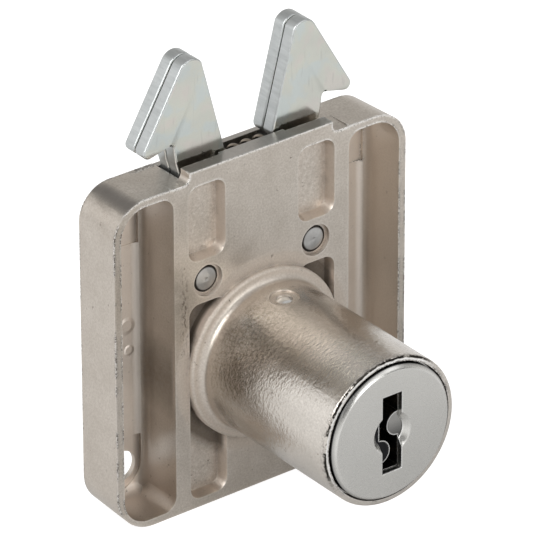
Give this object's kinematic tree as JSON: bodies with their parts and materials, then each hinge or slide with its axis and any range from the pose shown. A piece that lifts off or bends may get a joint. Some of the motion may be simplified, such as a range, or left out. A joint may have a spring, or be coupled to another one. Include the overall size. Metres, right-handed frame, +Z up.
{
  "type": "drawer lock",
  "caption": "Drawer lock with a rectangular cast case, a round key barrel and two barbed hooks that the key draws together.",
  "frame": {"origin": "where the barrel's axis meets the front face of the case", "axes": "+X to the right seen from the key side, +Y from the front face into the case, away from the key, +Z up towards the hooks"},
  "size_m": [0.0406, 0.03, 0.0549],
  "materials": {
    "die_casting": "nickel-plated zinc die casting, satin with fine grain",
    "cover_plate": "zinc-plated sheet, satin",
    "turned_steel": "turned bare steel",
    "hook_plate": "bright zinc-plated sheet with a faint blue sheen",
    "spring_wire": "drawn spring wire",
    "stamped_steel": "stamped zinc-plated steel",
    "core_alloy": "cast alloy, machined",
    "face_cap": "satin chrome over drawn steel",
    "wafer_brass": "stamped brass"
  },
  "bodies": {
    "case": {"case": "die_casting", "rear_cover": "cover_plate", "left_pivot_pin": "turned_steel", "right_pivot_pin": "turned_steel", "stop_pin": "turned_steel"},
    "core": {"core": "core_alloy", "core_face": "face_cap", "driver": "core_alloy", "cam": "stamped_steel", "retaining_wafer": "wafer_brass", "retaining_wafer_spring": "spring_wire", "wafer_springs": "spring_wire"},
    "wafers": {"wafer_1": "wafer_brass", "wafer_2": "wafer_brass", "wafer_3": "wafer_brass", "wafer_4": "wafer_brass", "wafer_5": "wafer_brass", "wafer_6": "wafer_brass"},
    "left_hook": {"left_hook_front_plate": "hook_plate", "left_hook_rear_plate": "hook_plate"},
    "right_hook": {"right_hook_front_plate": "hook_plate", "right_hook_rear_plate": "hook_plate"},
    "hook_spring": {"hook_spring": "spring_wire"}
  },
  "joints": [
    {"name": "key_turn", "type": "hinge", "parent": "case", "child": "core", "pos_m": [0, 0, 0], "axis": [0, 1, 0], "range_deg": [0, 90], "deforming": ["hook_spring"]},
    {"name": "right_hook_swing", "type": "hinge", "parent": "case", "child": "right_hook", "pos_m": [0.0075, 0, 0.0115], "axis": [0, 1, 0], "range_deg": [-13.7, 0], "stiffness_Nm_per_rad": 0.02},
    {"name": "left_hook_swing", "type": "hinge", "parent": "case", "child": "left_hook", "pos_m": [-0.0075, 0, 0.0115], "axis": [0, 1, 0], "range_deg": [0, 13.7], "stiffness_Nm_per_rad": 0.02},
    {"name": "spring_shift", "type": "slide", "parent": "case", "child": "hook_spring", "axis": [0, 0, -1], "range_m": [0, 0.0014]},
    {"name": "wafers_out", "type": "slide", "parent": "core", "child": "wafers", "axis": [0, 0, 1], "range_m": [0, 0.0006], "deforming": ["wafer_springs"]}
  ],
  "couplings": [
    {"joint": "right_hook_swing", "follows": "key_turn", "ratio": -0.15222},
    {"joint": "left_hook_swing", "follows": "key_turn", "ratio": 0.15222},
    {"joint": "spring_shift", "follows": "key_turn", "m_per_rad": 0.000737}
  ]
}
